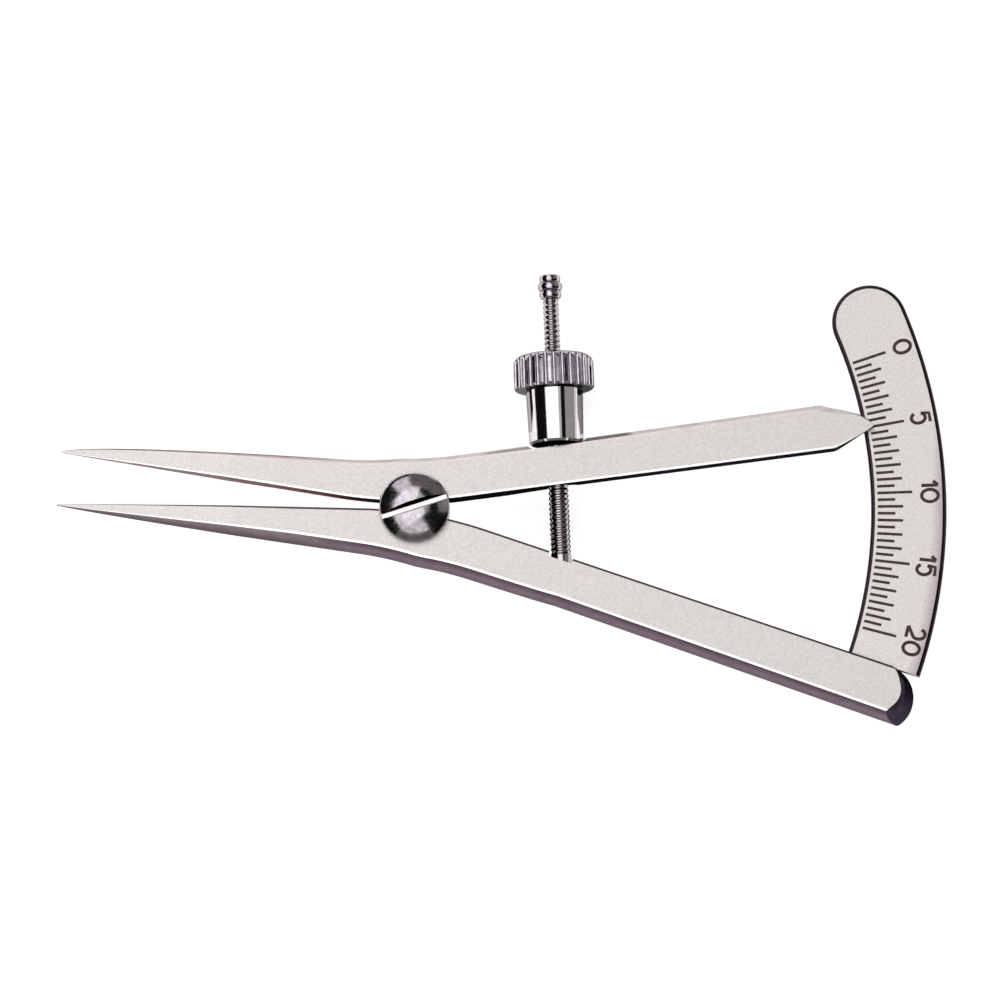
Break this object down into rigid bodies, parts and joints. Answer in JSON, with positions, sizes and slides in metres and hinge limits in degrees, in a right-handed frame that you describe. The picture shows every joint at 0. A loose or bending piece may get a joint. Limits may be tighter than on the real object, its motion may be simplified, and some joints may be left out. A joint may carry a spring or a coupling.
{
  "type": "castroviejo caliper",
  "caption": "Rocker caliper with needle-pointed jaws, an arc scale let into the fixed arm, and a fluted thumb nut on a pinned spindle.",
  "frame": {"origin": "pivot axis at the flat back of the arms", "axes": "+X from the pivot to the scale, +Y across the arms to the thumb nut's side, +Z from the back to the engraved front"},
  "size_m": [0.0858, 0.0439, 0.0078],
  "materials": {
    "satin_steel": "satin",
    "scale_steel": "satin, with engraved lines and figures",
    "screw_steel": "turned and polished",
    "spindle_steel": "cut thread, bright",
    "polished_steel": "polished"
  },
  "bodies": {
    "fixed_lever": {"fixed_arm": "satin_steel", "scale_plate": "scale_steel", "spindle_pin": "screw_steel"},
    "moving_lever": {"moving_arm": "satin_steel", "pivot_screw": "screw_steel"},
    "spindle": {"spindle": "spindle_steel"},
    "sleeve": {"thrust_sleeve": "polished_steel"},
    "nut": {"thumb_nut": "polished_steel"}
  },
  "joints": [
    {"name": "arm_pivot", "type": "hinge", "parent": "fixed_lever", "child": "moving_lever", "pos_m": [0, 0, 0.0015], "axis": [0, 0, 1], "range_deg": [-25.39, 8.31]},
    {"name": "spindle_swing", "type": "hinge", "parent": "fixed_lever", "child": "spindle", "pos_m": [0.01419, -0.0058, 0.0015], "axis": [0, 0, 1], "range_deg": [-12.71, 4.17]},
    {"name": "sleeve_travel", "type": "slide", "parent": "spindle", "child": "sleeve", "axis": [-0.0401, 0.9992, 0], "range_m": [-0.00619, 0.00204]},
    {"name": "nut_spin", "type": "hinge", "parent": "sleeve", "child": "nut", "pos_m": [0.01341, 0.01345, 0.0015], "axis": [-0.0401, 0.9992, 0], "range_deg": [-4450, 1458]}
  ],
  "couplings": [
    {"joint": "spindle_swing", "follows": "arm_pivot", "ratio": 0.5},
    {"joint": "sleeve_travel", "follows": "arm_pivot", "m_per_rad": 0.013943},
    {"joint": "nut_spin", "follows": "arm_pivot", "ratio": 175.21}
  ]
}
